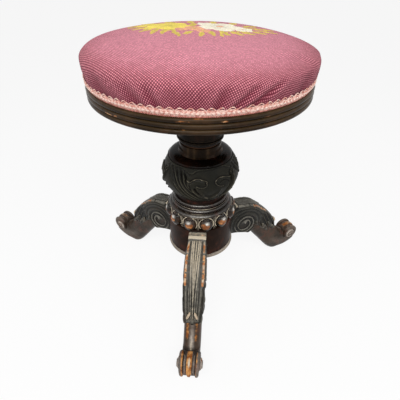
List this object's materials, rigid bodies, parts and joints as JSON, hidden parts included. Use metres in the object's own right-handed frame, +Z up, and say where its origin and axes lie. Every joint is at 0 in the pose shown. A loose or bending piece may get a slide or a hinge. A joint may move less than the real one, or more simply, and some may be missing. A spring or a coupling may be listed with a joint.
{
  "type": "revolving piano stool",
  "caption": "Round upholstered stool that winds up and down on a screw in a turned, carved column with three scrolled legs.",
  "frame": {"origin": "middle of the bounding box at the floor, a little in front of the column's axis", "axes": "+Z up along the screw, -Y along the front leg, the other two legs 120 degrees to either side of it"},
  "size_m": [0.4396, 0.4102, 0.4912],
  "materials": {
    "needlework": "wool canvas work in small stitches",
    "braid": "looped gimp braid",
    "stuffing": "hair stuffing under calico",
    "rim_wood": "dark stain, waxed, worn on its reeds",
    "board_wood": "sawn softwood",
    "black_wood": "ebonised, polished",
    "carved_wood": "carved, black-brown stain with worn edges",
    "leg_wood": "carved, brown stain worn to orange on its edges",
    "red_wood": "turned, red-brown polish",
    "pale_bead": "turned, worn pale",
    "leather": "waxed hide",
    "iron": "as cast, oiled",
    "steel": "bright, greased"
  },
  "bodies": {
    "base": {"leg_front": "leg_wood", "leg_right": "leg_wood", "leg_left": "leg_wood", "nut_screw_1": "steel", "nut_screw_2": "steel", "nut_screw_3": "steel", "tripod_plate": "iron", "tripod_screw_1": "steel", "tripod_screw_2": "steel", "tripod_screw_3": "steel", "tripod_screw_4": "steel", "tripod_screw_5": "steel", "tripod_screw_6": "steel", "base_drum": "red_wood", "drum_bead": "pale_bead", "boss_ring": "carved_wood", "base_moulding": "red_wood", "column_vase": "carved_wood", "thread_nut": "iron"},
    "lift": {"thrust_washer": "leather"},
    "seat": {"screw_spindle": "steel", "stop_washer": "iron", "stop_pin": "steel", "seat_flange": "iron", "hub_pin": "steel", "flange_screw_1": "steel", "flange_screw_2": "steel", "flange_screw_3": "steel", "flange_screw_4": "steel", "seat_boss": "black_wood", "boss_screw_1": "steel", "boss_screw_2": "steel", "boss_screw_3": "steel", "boss_screw_4": "steel", "seat_board": "board_wood", "seat_rim": "rim_wood", "needlework_cover": "needlework", "stuffing_pad": "stuffing", "gimp_braid": "braid"}
  },
  "joints": [
    {"name": "seat_raise", "type": "slide", "parent": "base", "child": "lift", "axis": [0, 0, 1], "range_m": [0, 0.1001]},
    {"name": "seat_turn", "type": "hinge", "parent": "lift", "child": "seat", "pos_m": [0, 0.04229, 0.331], "axis": [0, 0, 1], "range_deg": [0, 3600]}
  ],
  "couplings": [
    {"joint": "seat_raise", "follows": "seat_turn", "m_per_rad": 0.0015915}
  ]
}
